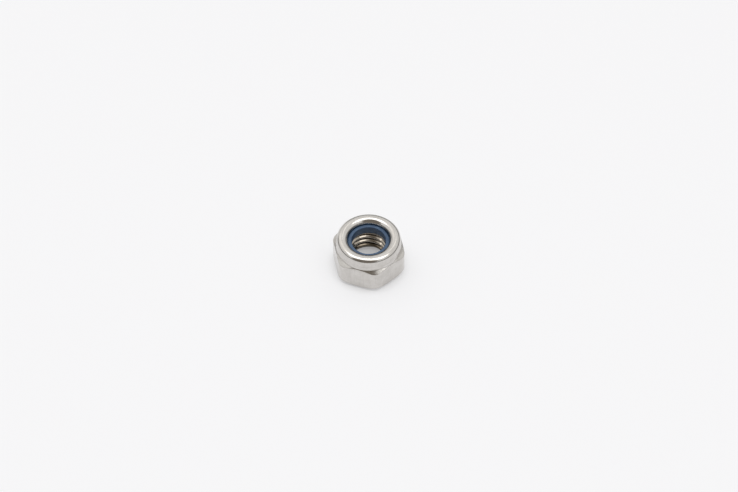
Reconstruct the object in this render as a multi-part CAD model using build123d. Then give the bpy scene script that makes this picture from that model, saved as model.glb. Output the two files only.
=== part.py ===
from build123d import *
import os
from math import asin, cos, radians, sin, sqrt, tan

# Prevailing-torque lock nut, M8 x 1.25: a cold-formed steel hexagon whose collar
# is rolled over a nylon locking ring. Millimetres, +Z up. The origin is the
# centre of the bearing face, and two corners of the hexagon lie on the X axis.

os.makedirs("parts", exist_ok=True)

# Thread. The bore is left at the minor diameter, where the thread's crests lie.
thread_diameter = 8.0
thread_pitch = 1.25
thread_height = thread_pitch * sqrt(3) / 2
minor_radius = thread_diameter / 2 - thread_height * 5 / 8

# Hexagon
across_flats = 13.0
corner_radius = 2.2          # the cold-formed side edges are full and round
nut_height = 7.9
chamfer_angle = 30.0         # both chamfers, from the horizontal
bearing_radius = 6.35        # flat bearing face inside the lower chamfer
corner_height = 5.0          # top of a side edge, where the upper chamfer starts
lead_in_radius = 4.15        # mouth of the 90 degree countersink below
edge_break = 0.12            # small bevel on every edge the tools leave

# Collar above the hexagon, rolled inwards
wall_draft = 5.0             # the collar's wall leans in by this, up to the shoulder
root_radius = 0.25           # hollow where the wall meets the chamfer
shoulder_radius = 0.85       # tight bend outside
crown_radius = 1.25          # flatter bend from the shoulder to the crest
crown_angle = 30.0           # how far the crown turns before the shoulder takes over
crest_radius = 5.11          # ring along the top of the rolled lip
lip_bend_radius = 1.2        # the lip turns down again inside the crest
lip_edge_radius = 4.05       # free edge of the lip, where it grips the ring

# Recess under the lip, and the ring that fills it
recess_radius = 5.25
seat_height = 5.2
recess_wall_top = 6.25       # the roof curves inwards from here
roof_height = 6.68           # underside of the lip at its free edge
ring_bore_radius = 3.3       # just under the thread's crests, so that a bolt cuts it
ring_top_height = 6.84       # squeezed up a little inside the lip
ring_swell_radius = 3.8      # the ring's top falls from here to the lip's underside
ring_bevel = 0.14


def hexagon_prism(height):
    """Six-sided bar with rounded side edges, standing on the origin."""
    section = RegularPolygon(across_flats / 2, 6, major_radius=False)
    bar = extrude(section, height)
    return fillet(bar.edges().filter_by(Axis.Z), corner_radius)


def recess_roof():
    """Underside of the lip: a quarter ellipse, tangent to the recess wall."""
    return EllipticalCenterArc(
        (lip_edge_radius, recess_wall_top),
        recess_radius - lip_edge_radius,
        roof_height - recess_wall_top,
        start_angle=0,
        arc_size=90,
    )


def nut_section():
    """Half section of the nut in X and Z, from the lip's free edge outwards."""
    chamfer_slope = tan(radians(chamfer_angle))
    side_edge = (across_flats / 2 - corner_radius) / cos(radians(30)) + corner_radius
    blank_radius = side_edge + 1.0            # outside the hexagon, cut away by it
    lower_chamfer = (blank_radius - bearing_radius) * chamfer_slope
    upper_chamfer = corner_height - (blank_radius - side_edge) * chamfer_slope
    countersink_depth = lead_in_radius - minor_radius

    # The lip bends down from the crest until it is as narrow as its free edge.
    lip_turn = asin((crest_radius - lip_edge_radius - edge_break) / lip_bend_radius)
    lip_end = (
        lip_edge_radius + edge_break,
        nut_height - lip_bend_radius * (1 - cos(lip_turn)),
    )
    crest = (crest_radius, nut_height)

    # The crown and the shoulder are tangent where the crown ends.
    turn = radians(crown_angle)
    crown_end = (
        crest_radius + crown_radius * sin(turn),
        nut_height - crown_radius * (1 - cos(turn)),
    )
    draft = radians(wall_draft)
    shoulder_centre = (
        crown_end[0] - shoulder_radius * sin(turn),
        crown_end[1] - shoulder_radius * cos(turn),
    )
    wall_top = (
        shoulder_centre[0] + shoulder_radius * cos(draft),
        shoulder_centre[1] + shoulder_radius * sin(draft),
    )

    # The wall runs down at its draft until it meets the chamfer's cone.
    cone_apex = corner_height + side_edge * chamfer_slope
    fall = (wall_top[1] - cone_apex + wall_top[0] * chamfer_slope) * tan(draft)
    base_radius = wall_top[0] + fall / (1 - chamfer_slope * tan(draft))
    wall_base = (base_radius, cone_apex - base_radius * chamfer_slope)

    with BuildSketch(Plane.XZ) as section:
        with BuildLine():
            Polyline(
                (lip_edge_radius, roof_height),
                (lip_edge_radius, lip_end[1] - 2 * edge_break),
                lip_end,
            )
            RadiusArc(lip_end, crest, lip_bend_radius)
            RadiusArc(crest, crown_end, crown_radius)
            RadiusArc(crown_end, wall_top, shoulder_radius)
            Polyline(
                wall_top,
                wall_base,
                (blank_radius, upper_chamfer),
                (blank_radius, lower_chamfer),
                (bearing_radius, 0),
                (lead_in_radius, 0),
                (minor_radius, countersink_depth),
                (minor_radius, seat_height - edge_break),
                (minor_radius + edge_break, seat_height),
                (recess_radius, seat_height),
                (recess_radius, recess_wall_top),
            )
            recess_roof()
        make_face()
        root = section.vertices().sort_by_distance((wall_base[0], 0, wall_base[1]))[0]
        fillet(root, root_radius)
    return section.sketch


def nut_body():
    """Turned blank with the hexagon's flats cut through its chamfers."""
    blank = revolve(nut_section(), Axis.Z)
    return blank & hexagon_prism(nut_height)


def nylon_ring():
    """Locking ring, filling the recess from the seat to the underside of the lip."""
    with BuildSketch(Plane.XZ) as section:
        with BuildLine():
            swell = Line(
                (ring_bore_radius + ring_bevel, ring_top_height),
                (ring_swell_radius, ring_top_height),
            )
            TangentArc(
                swell @ 1,
                (lip_edge_radius, roof_height),
                tangent=swell % 1,
            )
            recess_roof()
            Polyline(
                (recess_radius, recess_wall_top),
                (recess_radius, seat_height),
                (ring_bore_radius, seat_height),
                (ring_bore_radius, ring_top_height - ring_bevel),
                swell @ 0,
            )
        make_face()
    return revolve(section.sketch, Axis.Z)


export_step(nut_body(), "parts/nut_body.step")
export_step(nylon_ring(), "parts/nylon_ring.step")
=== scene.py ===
from math import acos, asin, atan2, cos, pi, radians, sin, tan
import bpy
import bmesh
import numpy as np
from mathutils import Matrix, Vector


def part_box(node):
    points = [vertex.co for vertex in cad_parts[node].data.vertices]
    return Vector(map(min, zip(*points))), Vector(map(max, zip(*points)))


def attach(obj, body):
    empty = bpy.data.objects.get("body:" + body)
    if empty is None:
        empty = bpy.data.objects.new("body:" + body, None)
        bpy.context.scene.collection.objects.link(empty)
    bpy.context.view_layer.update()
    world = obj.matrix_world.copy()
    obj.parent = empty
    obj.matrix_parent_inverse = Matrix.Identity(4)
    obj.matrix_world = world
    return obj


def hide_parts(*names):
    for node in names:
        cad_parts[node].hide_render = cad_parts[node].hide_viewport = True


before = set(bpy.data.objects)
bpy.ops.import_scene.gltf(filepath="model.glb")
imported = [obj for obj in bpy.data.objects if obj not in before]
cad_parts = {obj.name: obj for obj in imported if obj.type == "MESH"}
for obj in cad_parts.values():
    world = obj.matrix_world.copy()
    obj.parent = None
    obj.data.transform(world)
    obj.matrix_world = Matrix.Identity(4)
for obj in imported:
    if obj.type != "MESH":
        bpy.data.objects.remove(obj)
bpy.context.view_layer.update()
mm = 0.001

# Sizes that the solids already have, read back in millimetres.
nutLow, nutHigh = (np.array(corner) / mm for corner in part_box("nut_body"))
ringLow, ringHigh = (np.array(corner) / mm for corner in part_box("nylon_ring"))
acrossFlats = nutHigh[1] - nutLow[1]
nutHeight = nutHigh[2]
seatHeight = ringLow[2]
ringTop = ringHigh[2]
recessRadius = ringHigh[0]
print("frame loaded: %.2f mm across flats, %.2f mm high" % (acrossFlats, nutHeight))


# Straight runs joined by arcs, for many sections at once. corners is (sections, points, 2).
# Each inner corner is cut by an arc of its radius r: it starts r tan(turn / 2) before the
# corner, and its points are the centre plus r times the normal turned from one run's
# normal to the next one's. gap puts one more point beside each end of the arc.
def roundedPath(corners, radii, arcSteps, gap):
    legs = np.diff(corners, axis=1)
    ways = legs / np.linalg.norm(legs, axis=2, keepdims=True)
    rows = [corners[:, 0]]
    for i, radius in enumerate(radii):
        corner, before, after = corners[:, i + 1], ways[:, i], ways[:, i + 1]
        cross = before[:, 0] * after[:, 1] - before[:, 1] * after[:, 0]
        turn = np.arctan2(cross, (before * after).sum(1))
        reach = (radius * np.tan(np.abs(turn) / 2))[:, None]
        side = np.sign(turn)[:, None]
        normal = np.stack([before[:, 1], -before[:, 0]], 1) * side
        centre = corner - before * reach - normal * radius
        rows.append(corner - before * (reach + gap))
        for t in np.linspace(0, 1, arcSteps + 1):
            c, s = np.cos(turn * t)[:, None], np.sin(turn * t)[:, None]
            spun = np.hstack([
                normal[:, :1] * c - normal[:, 1:] * s,
                normal[:, :1] * s + normal[:, 1:] * c,
            ])
            rows.append(centre + spun * radius)
        rows.append(corner + after * (reach + gap))
    rows.append(corners[:, -1])
    return np.stack(rows, 1)


# Points of an arc in the section: centre + radius (sin a, cos a), where a is in degrees
# from straight up, outwards.
def arcPoints(centre, radius, fromAngle, toAngle, count):
    angle = np.radians(np.linspace(fromAngle, toAngle, count))
    return np.array(centre) + radius * np.stack([np.sin(angle), np.cos(angle)], 1)


mergeDistance = 2e-7        # metres: points nearer than this become one
shortestEdge = 1e-7         # and a shorter edge goes


# A mesh from a grid of sections: (r, z) turned to angle a is (r cos a, r sin a, z).
# Neighbouring rows and columns make the faces, the last row joins the first, and points
# that coincide are merged. The last boredRows rows belong to the tapped bore.
def turnedMesh(name, angle, section, boredRows=0):
    radius, height = section[..., 0], section[..., 1]
    points = np.stack([
        radius * np.cos(angle)[:, None],
        radius * np.sin(angle)[:, None],
        height,
    ], 2) * mm
    columns, rows = radius.shape
    index = np.arange(columns * rows).reshape(columns, rows)
    index = np.hstack([index, index[:, :1]])
    faces = np.stack([index[:-1, :-1], index[1:, :-1], index[1:, 1:], index[:-1, 1:]], 2)
    mesh = bpy.data.meshes.new(name)
    mesh.from_pydata(points.reshape(-1, 3), [], faces.reshape(-1, 4))
    bored = np.zeros((columns, rows), np.float32)
    bored[:, rows - boredRows:] = 1
    mesh.attributes.new("bored", "FLOAT", "POINT").data.foreach_set("value", bored.ravel())

    work = bmesh.new()
    work.from_mesh(mesh)
    bmesh.ops.remove_doubles(work, verts=work.verts, dist=mergeDistance)
    bmesh.ops.dissolve_degenerate(work, edges=work.edges, dist=shortestEdge)
    bmesh.ops.recalc_face_normals(work, faces=work.faces)
    work.to_mesh(mesh)
    work.free()
    mesh.shade_smooth()
    piece = bpy.data.objects.new(name, mesh)
    bpy.context.scene.collection.objects.link(piece)

    edgeOfLoop = np.empty(len(mesh.loops), np.int32)
    mesh.loops.foreach_get("edge_index", edgeOfLoop)
    facesOnEdge = np.bincount(edgeOfLoop, minlength=len(mesh.edges))
    openEdges = np.count_nonzero(facesOnEdge != 2)
    print("%s: %d faces, %d open edges" % (name, len(mesh.polygons), openEdges))
    return piece


threadShape = dict(
    pitch=1.25,
    majorRadius=4.0,
    minorRadius=3.3234,     # the crests, where the solid's bore is
    flankAngle=30.0,
    rootShare=0.125,        # flat at the major diameter, in pitches
    blend=0.05,             # rounding between flat and flank, in flank widths
    turn=0.685,             # start of the thread round the axis, in turns
    leadInRadius=4.15,      # mouth of the 45 degree countersink below
    topBreak=0.12,          # small bevel at the seat
    joinSoftness=0.03,      # rounding where the thread runs into either of them
    # Rows of points from the middle of a crest to the middle of the root, in pitches
    rowPhases=(0, 0.13, 0.163, 0.18, 0.197, 0.24, 0.30, 0.36, 0.415, 0.432, 0.45, 0.47, 0.5),
    rowMargin=0.1,          # rows start this far past the seat and the bearing face
)


# Radius of the threaded bore. The phase, height / pitch - angle / turn, is constant along a
# right-hand helix, and whole on the crests. The wall is a V: the minor radius on the
# crest's flat, rising along the flank to the major radius, with a parabola at each bend.
def threadRadius(height, angle):
    t = threadShape
    depth = t["majorRadius"] - t["minorRadius"]
    phase = height / t["pitch"] - angle / (2 * pi) - t["turn"]
    fromCrest = np.abs(phase - np.round(phase))
    flank = depth * tan(radians(t["flankAngle"])) / t["pitch"]
    x = (fromCrest - 0.5 + t["rootShare"] / 2 + flank) / flank
    w = t["blend"]
    rise = np.clip(x, 0, 1)
    rise = np.where(np.abs(x) < w, (x + w)**2 / (4 * w), rise)
    rise = np.where(np.abs(x - 1) < w, 1 - (1 + w - x)**2 / (4 * w), rise)
    return t["minorRadius"] + depth * rise


# Bore of the nut: the thread, widened by the countersink below and by the small bevel at
# the seat. The soft maximum (a + b + sqrt((a - b)^2 + e^2)) / 2 joins them.
def boreRadius(height, angle):
    t = threadShape
    countersink = t["leadInRadius"] - height
    bevel = t["minorRadius"] + t["topBreak"] - seatHeight + height
    radius = threadRadius(height, angle)
    for cone in (countersink, bevel):
        radius = (radius + cone + np.sqrt((radius - cone)**2 + t["joinSoftness"]**2)) / 2
    return radius


# Section of the bore at each angle, from the seat down. Its rows follow the helix: row s
# at angle a lies at height s + pitch a / turn, held between the bearing face and the seat,
# so after a full turn each row meets the one a pitch above it.
def boreSection(angle):
    t = threadShape
    pitch, margin = t["pitch"], t["rowMargin"]
    half = np.array(t["rowPhases"])
    phases = np.concatenate([half, 1 - half[1:-1]])
    turns = np.arange(-2, int(seatHeight / pitch) + 2)
    start = ((turns[:, None] + phases).ravel() + t["turn"]) * pitch
    start = start[(start > -pitch - margin) & (start < seatHeight + margin)]
    start = np.unique(np.round(start, 9))[::-1]
    height = start + pitch * angle[:, None] / (2 * pi)
    height = np.clip(height, 0, seatHeight)
    return np.stack([boreRadius(height, angle[:, None]), height], 2)


nutShape = dict(
    columns=288,            # steps round the nut
    cornerRadius=2.2,       # the hexagon's side edges
    cornerHeight=4.88,      # top of a side edge
    chamferAngle=34.0,      # upper chamfer, from level
    lowerAngle=30.0,        # lower chamfer
    bearingRadius=5.95,     # bearing face
    wallDraft=6.5,          # the collar's wall leans in by this
    rootRadius=0.15,        # hollow at the wall's foot
    shoulderRadius=0.85,    # tight bend at the wall's top
    crownRadius=1.25,       # flatter bend from there to the crest
    crownAngle=30.0,        # how far the crown turns
    crestRadius=5.14,       # ring along the top of the rolled lip
    lipBendRadius=1.2,      # the lip turns down again inside the crest
    lipEdgeRadius=4.05,     # its free edge
    lipEdgeBreak=0.12,      # bevel on the free edge, and the rounding under it
    lipEdgeSteps=4,
    roofHeight=6.68,        # underside of the free edge
    recessWallTop=6.25,
    softEdge=0.11,          # rounding left on the hexagon's upper edges
    lowerEdge=0.38,         # on the flats' lower edge
    bearingEdge=0.25,       # and on the rim of the bearing face
    edgeSteps=5,            # steps in each of those roundings
    bendPoints=13,          # points along the shoulder, and along the lip's bend
    crownPoints=9,
    supportGap=0.03,        # loops this close to a bend keep the flats flat
    insideGap=0.02,         # the same under the lip and in the recess
    roofRise=0.007,         # rise of the recess's roof over the first supportGap
    waviness=0.006,         # depth of the unevenness that cold forming leaves
    waves=9,
    wavesAround=14,         # fewer than this many round the nut
    wavesUp=1.6,            # at most, in radians per millimetre
    waveSeed=4,
    plainBelow=0.05,        # the bearing face stays flat
)


# Radius of the hexagon at each angle: the flat is inradius / cos(angle from its middle),
# and near a corner the ray meets the corner's arc, centre d out along the corner, at
# d cos(q) + sqrt(r^2 - d^2 sin(q)^2) for the angle q from the corner.
def hexagonRadius(angle, inradius, cornerRadius):
    fromCorner = np.abs((angle + pi / 6) % (pi / 3) - pi / 6)
    flat = inradius / np.cos(pi / 6 - fromCorner)
    centre = (inradius - cornerRadius) / cos(pi / 6)
    offset = centre * np.sin(fromCorner)
    arc = centre * np.cos(fromCorner) + np.sqrt(np.maximum(cornerRadius**2 - offset**2, 0))
    arcEnd = atan2(cornerRadius * sin(pi / 6), centre + cornerRadius * cos(pi / 6))
    return np.where(fromCorner < arcEnd, arc, flat)


# Section of the nut outside its bore, one for each angle, from the bearing face's inner
# edge, up the outside, over the rolled lip and down the recess to the seat. The hexagon
# cuts two cones at z = (r - bearing radius) tan(lower angle) and z = apex - r tan(chamfer
# angle), the wall runs down at its draft to the upper one, and arcs make the collar.
def outerSection(angle):
    n = nutShape
    slope, lowerSlope = tan(radians(n["chamferAngle"])), tan(radians(n["lowerAngle"]))
    turn, draft = radians(n["crownAngle"]), radians(n["wallDraft"])
    crownCentre = (n["crestRadius"], nutHeight - n["crownRadius"])
    shoulderCentre = (
        crownCentre[0] + (n["crownRadius"] - n["shoulderRadius"]) * sin(turn),
        crownCentre[1] + (n["crownRadius"] - n["shoulderRadius"]) * cos(turn),
    )
    wallTop = (
        shoulderCentre[0] + n["shoulderRadius"] * cos(draft),
        shoulderCentre[1] + n["shoulderRadius"] * sin(draft),
    )

    side = hexagonRadius(angle, acrossFlats / 2, n["cornerRadius"])
    apex = n["cornerHeight"] + side.max() * slope
    fall = (wallTop[1] - apex + wallTop[0] * slope) * tan(draft)
    footRadius = wallTop[0] + fall / (1 - slope * tan(draft))
    ones = np.ones_like(side)
    corners = (
        (boreRadius(0, angle), 0),
        (n["bearingRadius"], 0),
        (side, (side - n["bearingRadius"]) * lowerSlope),
        (side, apex - side * slope),
        (footRadius, apex - footRadius * slope),
        wallTop,
    )
    corners = np.stack([np.stack([r * ones, z * ones], 1) for r, z in corners], 1)
    edges = [n["bearingEdge"], n["lowerEdge"], n["softEdge"], n["rootRadius"]]
    hexagon = roundedPath(corners, edges, n["edgeSteps"], n["supportGap"])
    innerRim = hexagon[:, :1] + np.array([n["supportGap"], 0])
    hexagon = np.concatenate([hexagon[:, :1], innerRim, hexagon[:, 1:]], 1)

    # The lip bends down from the crest until it is as narrow as its free edge.
    lipCentre = (n["crestRadius"], nutHeight - n["lipBendRadius"])
    lipReach = n["crestRadius"] - n["lipEdgeRadius"] - n["lipEdgeBreak"]
    lipTurn = asin(lipReach / n["lipBendRadius"])
    lipEnd = (
        n["lipEdgeRadius"] + n["lipEdgeBreak"],
        nutHeight - n["lipBendRadius"] * (1 - cos(lipTurn)),
    )
    wallAngle, crownAngle = 90 - n["wallDraft"], n["crownAngle"]
    bends = (
        (shoulderCentre, n["shoulderRadius"], wallAngle, crownAngle, n["bendPoints"]),
        (crownCentre, n["crownRadius"], crownAngle, 0, n["crownPoints"]),
        (lipCentre, n["lipBendRadius"], 0, -np.degrees(lipTurn), n["bendPoints"]),
    )
    collar = np.vstack([arcPoints(*bend)[1:] for bend in bends])
    lipEdge = np.array([[
        lipEnd,
        (n["lipEdgeRadius"], lipEnd[1] - 2 * n["lipEdgeBreak"]),
        (n["lipEdgeRadius"], n["roofHeight"]),
    ]])
    lipEdge = roundedPath(lipEdge, [n["lipEdgeBreak"]], n["lipEdgeSteps"], n["insideGap"])[0, 1:]
    recess = np.array([
        (recessRadius - n["supportGap"], n["recessWallTop"] + n["roofRise"]),
        (recessRadius, n["recessWallTop"]),
        (recessRadius, seatHeight + n["insideGap"]),
        (recessRadius, seatHeight),
        (recessRadius - n["insideGap"], seatHeight),
    ])
    inside = np.vstack([collar, lipEdge, recess])
    inside = np.broadcast_to(inside, (len(angle),) + inside.shape)
    return np.concatenate([hexagon, inside], 1)


# Slow unevenness of formed metal: the mean of a few waves cos(k angle + m height + start),
# with k, m and the start drawn at random, brought to 0..1.
def unevenness(angle, height):
    n = nutShape
    rng = np.random.default_rng(n["waveSeed"])
    total = np.zeros(np.broadcast(angle, height).shape)
    for _ in range(n["waves"]):
        around = rng.integers(1, n["wavesAround"])
        up = rng.uniform(-n["wavesUp"], n["wavesUp"])
        total += np.cos(around * angle + up * height + rng.uniform(0, 2 * pi))
    return (1 + total / n["waves"]) / 2


# The nut: at each angle the outer section less waviness times unevenness, then the bore's.
# The last column repeats the first, so that the turn closes.
def makeNut():
    n = nutShape
    angle = np.linspace(0, 2 * pi, n["columns"] + 1)
    outer, bore = outerSection(angle), boreSection(angle)
    dent = n["waviness"] * unevenness(angle[:, None], outer[..., 1])
    outer[..., 0] -= dent * (outer[..., 1] > n["plainBelow"])
    outer[-1] = outer[0]
    section = np.concatenate([outer, bore], 1)
    return turnedMesh("threadedBody", angle, section, bore.shape[1])


ringShape = dict(
    columns=192,            # steps round the ring
    boreRadius=3.3,
    bevel=0.14,             # rounding on the bore's upper edge
    bevelSteps=6,
    bevelGap=0.04,          # loops this close to it keep the top and the bore flat
    swellRadius=3.8,        # the top is level inside this, and falls outside it
    swellPoints=7,
    topGap=0.05,            # support loops inside the swell and above the seat
    seatGap=0.02,
)


# The locking ring: its top falls from the swell to the lip's underside along an arc that
# starts level, of radius (reach^2 + fall^2) / (2 fall) and turn acos(1 - fall / radius).
# The rest follows the recess, the seat and the bore.
def makeRing():
    r, n = ringShape, nutShape
    angle = np.linspace(0, 2 * pi, r["columns"] + 1)
    fall = ringTop - n["roofHeight"]
    reach = n["lipEdgeRadius"] - r["swellRadius"]
    radius = (reach**2 + fall**2) / (2 * fall)
    turn = np.degrees(acos(1 - fall / radius))
    swell = arcPoints((r["swellRadius"], ringTop - radius), radius, 0, turn, r["swellPoints"])
    buried = [
        (recessRadius, n["recessWallTop"]),
        (recessRadius, seatHeight),
        (r["boreRadius"], seatHeight),
    ]
    bore = np.array([[
        (r["boreRadius"], seatHeight + r["seatGap"]),
        (r["boreRadius"], ringTop),
        (r["swellRadius"] - r["topGap"], ringTop),
    ]])
    bore = roundedPath(bore, [r["bevel"]], r["bevelSteps"], r["bevelGap"])[0]
    section = np.vstack([swell, buried, bore])
    section = np.broadcast_to(section, (len(angle),) + section.shape)
    return turnedMesh("lockingRing", angle, section)


# A node and its settings. Each is a property of that name, or else an input's value.
def addNode(tree, kind, **settings):
    node = tree.nodes.new("ShaderNode" + kind)
    for key, value in settings.items():
        if hasattr(node, key):
            setattr(node, key, value)
        else:
            node.inputs[key].default_value = value
    return node


# An empty material, with one shader joined to its output.
def newMaterial(name):
    material = bpy.data.materials.new(name)
    material.use_nodes = True
    tree = material.node_tree
    tree.nodes.clear()
    shader = addNode(tree, "BsdfPrincipled")
    output = addNode(tree, "OutputMaterial")
    tree.links.new(shader.outputs["BSDF"], output.inputs["Surface"])
    return material, tree, shader, output


# Joins value to the input if it is another node's output, and otherwise sets it there.
def feed(tree, value, socket):
    if isinstance(value, bpy.types.NodeSocket):
        tree.links.new(value, socket)
    else:
        socket.default_value = value


# first times second, or what else the operation says of the two.
def calculate(tree, operation, first, second):
    node = addNode(tree, "Math", operation=operation)
    feed(tree, first, node.inputs[0])
    feed(tree, second, node.inputs[1])
    return node.outputs["Value"]


# The same for directions. Only some operations have a second vector.
def calculateVector(tree, operation, first, second=None, output="Vector"):
    node = addNode(tree, "VectorMath", operation=operation)
    feed(tree, first, node.inputs[0])
    if second is not None:
        feed(tree, second, node.inputs["Scale" if operation == "SCALE" else 1])
    return node.outputs[output]


# low..high goes to toLow..toHigh, in a straight line or as the kind says, and stops there.
def remap(tree, value, low, high, toLow=0.0, toHigh=1.0, kind="LINEAR"):
    node = addNode(tree, "MapRange", interpolation_type=kind)
    ends = {"From Min": low, "From Max": high, "To Min": toLow, "To Max": toHigh}
    for name, end in ends.items():
        node.inputs[name].default_value = end
    tree.links.new(value, node.inputs["Value"])
    return node.outputs["Result"]


# Smooth noise round 0.5, with so many lumps to each unit of the vector.
def addNoise(tree, vector, lumps, detail, roughness):
    node = addNode(tree, "TexNoise", Scale=lumps, Detail=detail, Roughness=roughness)
    tree.links.new(vector, node.inputs["Vector"])
    return node.outputs["Fac"]


# The same with a scale for each axis, so that it runs out into lines.
def addStreaks(tree, vector, scale, detail, roughness):
    node = addNode(tree, "Mapping", Scale=scale)
    tree.links.new(vector, node.inputs["Vector"])
    return addNoise(tree, node.outputs["Vector"], 1.0, detail, roughness)


# first (1 - share) + second share, or for MULTIPLY first (1 - share + second share).
def mixColours(tree, share, first, second, kind="MIX"):
    node = addNode(tree, "Mix", data_type="RGBA", blend_type=kind)
    tree.links.new(share, node.inputs[0])
    for value, socket in ((first, node.inputs[6]), (second, node.inputs[7])):
        feed(tree, (*value, 1) if isinstance(value, tuple) else value, socket)
    return node.outputs[2]


# Tips the normal by the slope of height times distance in metres, by the strength's share.
def addBump(tree, height, strength, distance, normal=None):
    node = addNode(tree, "Bump", Strength=strength, Distance=distance)
    tree.links.new(height, node.inputs["Height"])
    if normal is not None:
        tree.links.new(normal, node.inputs["Normal"])
    return node.outputs["Normal"]


# Heights are in millimetres. Each noise is its lumps per metre, for lines along each axis,
# and then its detail and roughness. Each bump is its strength and its depth in metres.
steelFinish = dict(
    light=(0.66, 0.638, 0.61),
    dark=(0.585, 0.562, 0.532),
    blotches=(700.0, 4.0, 0.6),
    blotchRange=(0.35, 0.7),
    satin=(2600.0, 3.0, 0.6),
    satinRange=(0.3, 0.7),
    smooth=0.10,                        # roughness, from its smoothest spots
    rough=0.19,                         # to its dullest ones
    boreRoughness=0.08,
    boreToneAndShade=(0.62, 0.575, 0.51),       # cut metal's own darker tone in the thread, partly painted shade over the whole bore
    boreFootPaintedShade=(0.36, 0.33, 0.29),    # painted shade, darker towards the bore's lowest turns
    boreShadeHeights=(1.5, 2.3),
    rimPaintedShade=(0.80, 0.795, 0.79),        # painted shade on the flats' lower edge, standing in for the table's shade reflected there
    rimShadeHeights=(0.25, 0.5),
    scratches=((3500.0, 3500.0, 260.0), 3.0, 0.6),      # fine upright drawing lines
    scratchRange=(0.5, 0.7),
    scratchTint=(0.93, 0.93, 0.93),
    marks=(1.0, 3.0, 0.6),              # turning marks on the chamfer and the collar's foot
    marksAround=2.5,                    # slow round the nut
    marksAcross=5500.0,                 # fast up it and outwards, per metre
    markRange=(0.5, 0.66),
    markTint=(0.80, 0.795, 0.79),
    markHeights=(4.65, 4.95, 6.3, 6.9),                 # start, full, full, end
    markBump=(0.45, 0.00002),
    grain=(14000.0, 2.0, 0.5),
    grainBump=(0.25, 0.000008),
    drawn=((9000.0, 9000.0, 500.0), 2.0, 0.5),
    drawnBump=(0.3, 0.000006),
    boreGrain=0.2,                      # how much of the outside's grain the bore has
)


# Turning marks run level round the nut: noise of the direction in plan, which is slow,
# plus (radius, 0, height) times marksAcross, which is fast.
def turningMarks(tree, where, height):
    f = steelFinish
    flat = calculateVector(tree, "MULTIPLY", where, (1, 1, 0))
    plan = calculateVector(tree, "NORMALIZE", flat)
    slow = calculateVector(tree, "SCALE", plan, f["marksAround"])
    radius = calculateVector(tree, "LENGTH", flat, output="Value")
    fast = addNode(tree, "CombineXYZ")
    tree.links.new(calculate(tree, "MULTIPLY", radius, f["marksAcross"]), fast.inputs["X"])
    tree.links.new(calculate(tree, "MULTIPLY", height, f["marksAcross"]), fast.inputs["Z"])
    joined = calculateVector(tree, "ADD", slow, fast.outputs["Vector"])
    return addNoise(tree, joined, *f["marks"])


# Satin stainless steel: light and dark blotches, darkened by each tint where its share is
# 1 (painted shade on the flats' lower edge and the bore's lowest turns, and partly over the
# whole bore), a satin of varying roughness, and three bumps on top of one another.
def makeSteel():
    f = steelFinish
    material, tree, shader, _ = newMaterial("tumbledStainless")
    shader.inputs["Metallic"].default_value = 1.0
    where = addNode(tree, "TexCoord").outputs["Object"]
    axes = addNode(tree, "SeparateXYZ")
    tree.links.new(where, axes.inputs[0])
    height = axes.outputs["Z"]
    bored = addNode(tree, "Attribute", attribute_name="bored").outputs["Fac"]
    outside = remap(tree, bored, 0, 1, 1, 0)
    foot, footTop, rim, rimTop, low, lowFull, highFull, high = (
        h * mm for h in f["boreShadeHeights"] + f["rimShadeHeights"] + f["markHeights"])
    turned = calculate(tree, "MULTIPLY", remap(tree, height, low, lowFull),
                       remap(tree, height, highFull, high, 1, 0))
    marks = turningMarks(tree, where, height)
    scratches = remap(tree, addStreaks(tree, where, *f["scratches"]), *f["scratchRange"])

    blotches = remap(tree, addNoise(tree, where, *f["blotches"]), *f["blotchRange"])
    colour = mixColours(tree, blotches, f["light"], f["dark"])
    tints = (
        (turned, remap(tree, marks, *f["markRange"]), f["markTint"]),
        (outside, scratches, f["scratchTint"]),
        # painted shade along the flats' lower edge
        (outside, remap(tree, height, rim, rimTop, 1, 0), f["rimPaintedShade"]),
        # the cut thread's own tone, partly painted shade in the bore
        (bored, 1.0, f["boreToneAndShade"]),
        # painted shade, darker towards the bore's lowest turns
        (bored, remap(tree, height, foot, footTop, 1, 0), f["boreFootPaintedShade"]),
    )
    for place, amount, tint in tints:
        share = calculate(tree, "MULTIPLY", place, amount)
        colour = mixColours(tree, share, colour, tint, "MULTIPLY")
    tree.links.new(colour, shader.inputs["Base Color"])

    satin = addNoise(tree, where, *f["satin"])
    satin = remap(tree, satin, *f["satinRange"], f["smooth"], f["rough"])
    roughness = addNode(tree, "Mix", data_type="FLOAT")
    tree.links.new(bored, roughness.inputs[0])
    tree.links.new(satin, roughness.inputs[2])
    roughness.inputs[3].default_value = f["boreRoughness"]
    tree.links.new(roughness.outputs[0], shader.inputs["Roughness"])

    plain = remap(tree, bored, 0, 1, 1, f["boreGrain"])
    grain = calculate(tree, "MULTIPLY", addNoise(tree, where, *f["grain"]), plain)
    drawn = calculate(tree, "MULTIPLY", addStreaks(tree, where, *f["drawn"]), plain)
    cut = calculate(tree, "MULTIPLY", marks, turned)
    normal = addBump(tree, grain, *f["grainBump"])
    normal = addBump(tree, drawn, *f["drawnBump"], normal)
    normal = addBump(tree, cut, *f["markBump"], normal)
    tree.links.new(normal, shader.inputs["Normal"])
    return material


# Noises and bumps as for the steel.
nylonFinish = dict(
    light=(0.060, 0.115, 0.205),
    dark=(0.034, 0.070, 0.138),
    cloud=(900.0, 3.0, 0.5),            # light and dark
    gloss=(3000.0, 2.0, 0.5),
    noiseRange=(0.3, 0.7),  # where both noises start and are full
    roughness=(0.32, 0.46),
    grain=(5000.0, 3.0, 0.5),
    grainBump=(0.3, 0.00001),
)


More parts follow.
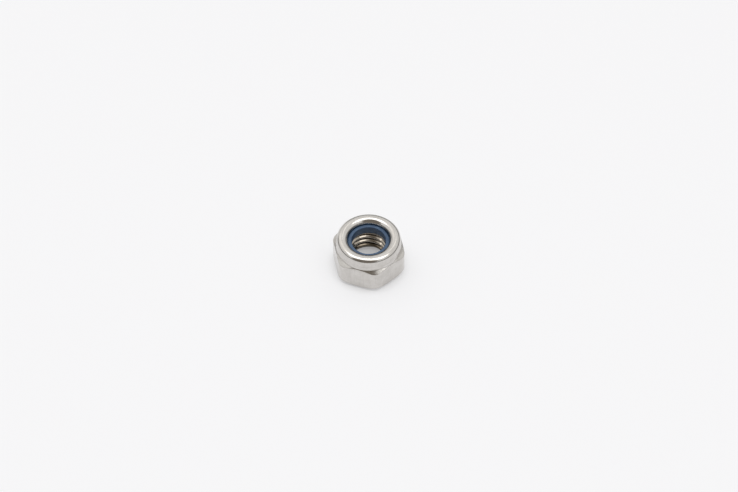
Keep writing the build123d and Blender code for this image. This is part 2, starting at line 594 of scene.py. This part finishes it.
# Moulded nylon: light and dark by one noise, roughness by another, and a fine bump.
def makeNylon():
    f = nylonFinish
    material, tree, shader, _ = newMaterial("mouldedNylon")
    where = addNode(tree, "TexCoord").outputs["Object"]
    cloud = remap(tree, addNoise(tree, where, *f["cloud"]), *f["noiseRange"])
    tree.links.new(mixColours(tree, cloud, f["light"], f["dark"]), shader.inputs["Base Color"])
    gloss = remap(tree, addNoise(tree, where, *f["gloss"]), *f["noiseRange"], *f["roughness"])
    tree.links.new(gloss, shader.inputs["Roughness"])
    normal = addBump(tree, addNoise(tree, where, *f["grain"]), *f["grainBump"])
    tree.links.new(normal, shader.inputs["Normal"])
    return material


tableSet = dict(
    colour=(0.905, 0.905, 0.917),
    roughness=0.9,
    shine=0.2,
    glow=0.62,              # share of plain paleness that the viewer and the metal see
    glowUnder=0.32,         # the same under the nut, where it stands in its own shade
    glowReach=(6.4, 8.2),   # from the axis, in millimetres
    glowColour=(0.955, 0.955, 0.97),
    half=1.6,               # half its side, in metres
)


# A square table. What the viewer, the metal and anything clear see of it is part lit
# surface and part plain glow: the glow's share grows with the distance from the nut.
def makeFloor():
    t = tableSet
    material, tree, shader, output = newMaterial("paleTable")
    shader.inputs["Base Color"].default_value = (*t["colour"], 1)
    shader.inputs["Roughness"].default_value = t["roughness"]
    shader.inputs["Specular IOR Level"].default_value = t["shine"]
    glow = addNode(tree, "Emission", Color=(*t["glowColour"], 1), Strength=1.0)
    path = addNode(tree, "LightPath")
    seen = calculate(tree, "MAXIMUM", path.outputs["Is Camera Ray"], path.outputs["Is Glossy Ray"])
    seen = calculate(tree, "MAXIMUM", seen, path.outputs["Is Transmission Ray"])
    where = addNode(tree, "TexCoord").outputs["Object"]
    away = calculateVector(tree, "LENGTH", where, output="Value")
    near, far = (reach * mm for reach in t["glowReach"])
    glowHere = remap(tree, away, near, far, t["glowUnder"], t["glow"])
    blend = addNode(tree, "MixShader")
    tree.links.new(calculate(tree, "MULTIPLY", seen, glowHere), blend.inputs[0])
    tree.links.new(shader.outputs["BSDF"], blend.inputs[1])
    tree.links.new(glow.outputs["Emission"], blend.inputs[2])
    tree.links.new(blend.outputs["Shader"], output.inputs["Surface"])

    h = t["half"]
    mesh = bpy.data.meshes.new("paleTable")
    mesh.from_pydata([(-h, -h, 0), (h, -h, 0), (h, h, 0), (-h, h, 0)], [], [(0, 1, 2, 3)])
    mesh.materials.append(material)
    floor = bpy.data.objects.new("paleTable", mesh)
    bpy.context.scene.collection.objects.link(floor)


cameraSet = dict(
    azimuth=18.7,           # degrees round from the middle of a flat
    elevation=50.3,
    distance=490.0,         # millimetres from the point it aims at
    aimHeight=3.5,
    aimRight=0.06,          # the aim's offset across the picture
    aimUp=1.045,            # and up it
    pixelsPerMm=5.17,
    imageWidth=738,
    sensorWidth=36.0,
    nearest=0.01,           # metres
)


# Unit vector at a, degrees round from the front, and e, degrees above level:
# (sin a cos e, -cos a cos e, sin e).
def directionAt(azimuth, elevation):
    a, e = radians(azimuth), radians(elevation)
    return Vector((sin(a) * cos(e), -cos(a) * cos(e), sin(e)))


# The camera stands at the aim plus the distance along its direction. Its focal length is
# pixels per millimetre times distance times sensor width / image width.
def makeCamera():
    c = cameraSet
    back = directionAt(c["azimuth"], c["elevation"])
    right = directionAt(c["azimuth"] + 90, 0)
    up = back.cross(right)
    aim = Vector((0, 0, c["aimHeight"])) + right * c["aimRight"] + up * c["aimUp"]
    data = bpy.data.cameras.new("camera")
    data.sensor_width = c["sensorWidth"]
    data.lens = c["pixelsPerMm"] * c["distance"] * c["sensorWidth"] / c["imageWidth"]
    data.clip_start = c["nearest"]
    camera = bpy.data.objects.new("camera", data)
    camera.location = (aim + back * c["distance"]) * mm
    camera.rotation_euler = back.to_track_quat("Z", "Y").to_euler()
    bpy.context.scene.collection.objects.link(camera)
    bpy.context.scene.camera = camera


studio = dict(
    roomLight=(0.90, 0.895, 0.885),
    horizonLight=0.18,      # the room near the table's level, as a share of the rest
    horizonReach=(8.0, 27.0),           # degrees up, over which it brightens
    softboxHeight=0.6,      # metres
    softboxEdges=(-12.0, 15.5, 33.0),   # degrees off the vertical: back, front, both sides
    softboxTurn=-11.0,
    softboxLevel=1.62,      # its brightness, where white paper is 1
    # What stands round the table, in degrees: its middle's angle round from the viewer and
    # height, the angles off that where it starts and is full, and then its light.
    cards=dict(
        darkSide=(-14.0, 36.0, 39.0, 33.0, (0.225, 0.202, 0.175)),
        windowLeft=(-140.0, 50.0, 22.0, 7.0, (1.20, 1.18, 1.15)),
        windowRight=(163.0, 53.0, 9.0, 4.0, (1.38, 1.36, 1.33)),
        lowLeft=(-146.0, 6.0, 20.0, 5.0, (0.80, 0.79, 0.78)),
    ),
)


# The world's light by direction: the room, dimmer near the table's level, with the cards
# over it. A card's share follows the cosine between the direction and its middle.
def makeRoom():
    s = studio
    world = bpy.data.worlds.new("studio")
    bpy.context.scene.world = world
    world.use_nodes = True
    tree = world.node_tree
    tree.nodes.clear()
    background = addNode(tree, "Background")
    output = addNode(tree, "OutputWorld")
    tree.links.new(background.outputs["Background"], output.inputs["Surface"])

    direction = addNode(tree, "TexCoord").outputs["Generated"]
    axes = addNode(tree, "SeparateXYZ")
    tree.links.new(direction, axes.inputs[0])
    start, full = (sin(radians(edge)) for edge in s["horizonReach"])
    level = remap(tree, axes.outputs["Z"], start, full, s["horizonLight"], 1, "SMOOTHSTEP")
    colour = calculateVector(tree, "SCALE", s["roomLight"], level)
    for azimuth, elevation, start, full, light in s["cards"].values():
        middle = directionAt(cameraSet["azimuth"] + azimuth, elevation)
        near = calculateVector(tree, "DOT_PRODUCT", direction, middle, output="Value")
        share = remap(tree, near, cos(radians(start)), cos(radians(full)), kind="SMOOTHSTEP")
        colour = mixColours(tree, share, colour, light)
    tree.links.new(colour, background.inputs["Color"])


# The softbox is level over the nut. Each edge is at height times tan(its angle), and the
# lamp's power is its level times pi times its area.
def makeSoftbox():
    s = studio
    back, front, side = (tan(radians(edge)) * s["softboxHeight"] for edge in s["softboxEdges"])
    lamp = bpy.data.lights.new("softbox", "AREA")
    lamp.shape = "RECTANGLE"
    lamp.size, lamp.size_y = 2 * side, front - back
    lamp.energy = s["softboxLevel"] * pi * lamp.size * lamp.size_y
    softbox = bpy.data.objects.new("softbox", lamp)
    turn = cameraSet["azimuth"] + s["softboxTurn"]
    softbox.location = directionAt(turn, 0) * (front + back) / 2
    softbox.location.z = s["softboxHeight"]
    softbox.rotation_euler.z = radians(turn)
    bpy.context.scene.collection.objects.link(softbox)


makeCamera()
makeRoom()
makeSoftbox()
makeFloor()
bpy.context.scene.view_settings.view_transform = "Standard"
print("camera, room and table ready")

nut = makeNut()
nut.data.materials.append(makeSteel())
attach(nut, "root")
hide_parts("nut_body")

ring = makeRing()
ring.data.materials.append(makeNylon())
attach(ring, "root")
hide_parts("nylon_ring")
print("nut and ring in place")
